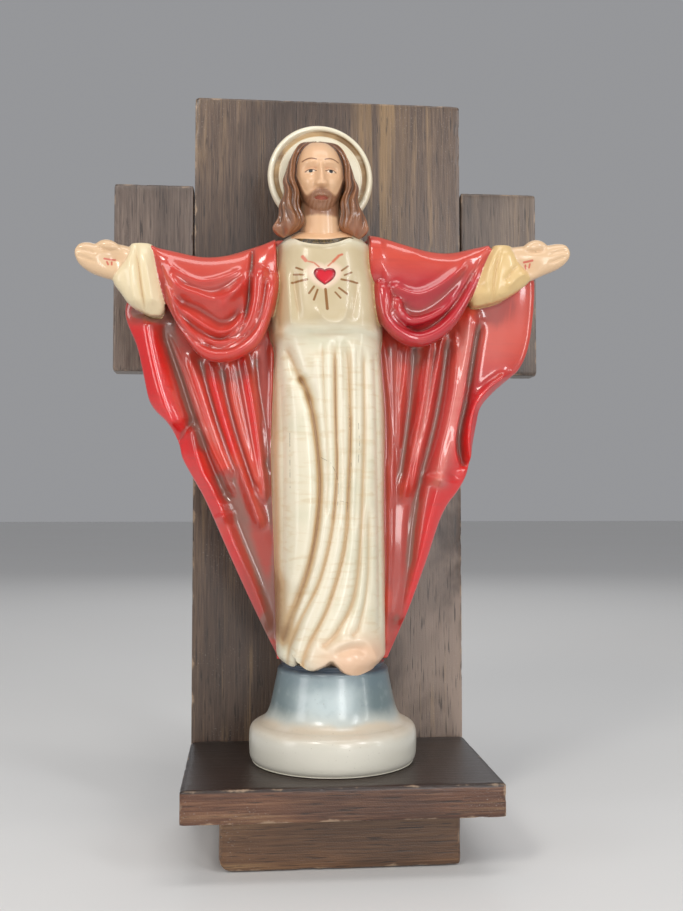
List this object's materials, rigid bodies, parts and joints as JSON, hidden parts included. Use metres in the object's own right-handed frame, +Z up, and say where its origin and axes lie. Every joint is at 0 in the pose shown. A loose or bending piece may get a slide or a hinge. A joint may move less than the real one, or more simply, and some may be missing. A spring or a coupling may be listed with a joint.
{
  "type": "sacred heart statue on a cross-shaped wall bracket",
  "caption": "Glazed ceramic robed figure with spread arms and halo, standing on the shelf of a cross-shaped wooden wall bracket.",
  "frame": {"origin": "on the flat back face of the upright board, at the middle of the crossing of the cross", "axes": "+X is the viewer's right when facing the figure, +Y points into the wall, +Z is up"},
  "size_m": [0.1964, 0.0884, 0.3124],
  "materials": {
    "painted_glaze": "gloss glaze over cream, red, flesh, brown and blue-grey paint",
    "upright_wood": "dark walnut stain under a worn satin varnish",
    "arm_wood": "dark walnut stain under a worn satin varnish",
    "shelf_wood": "red-brown walnut stain under a worn satin varnish"
  },
  "bodies": {
    "root": {"statue": "painted_glaze", "cross_upright": "upright_wood", "cross_arm_left": "arm_wood", "cross_arm_right": "arm_wood", "shelf": "shelf_wood", "shelf_block": "shelf_wood"}
  },
  "joints": []
}
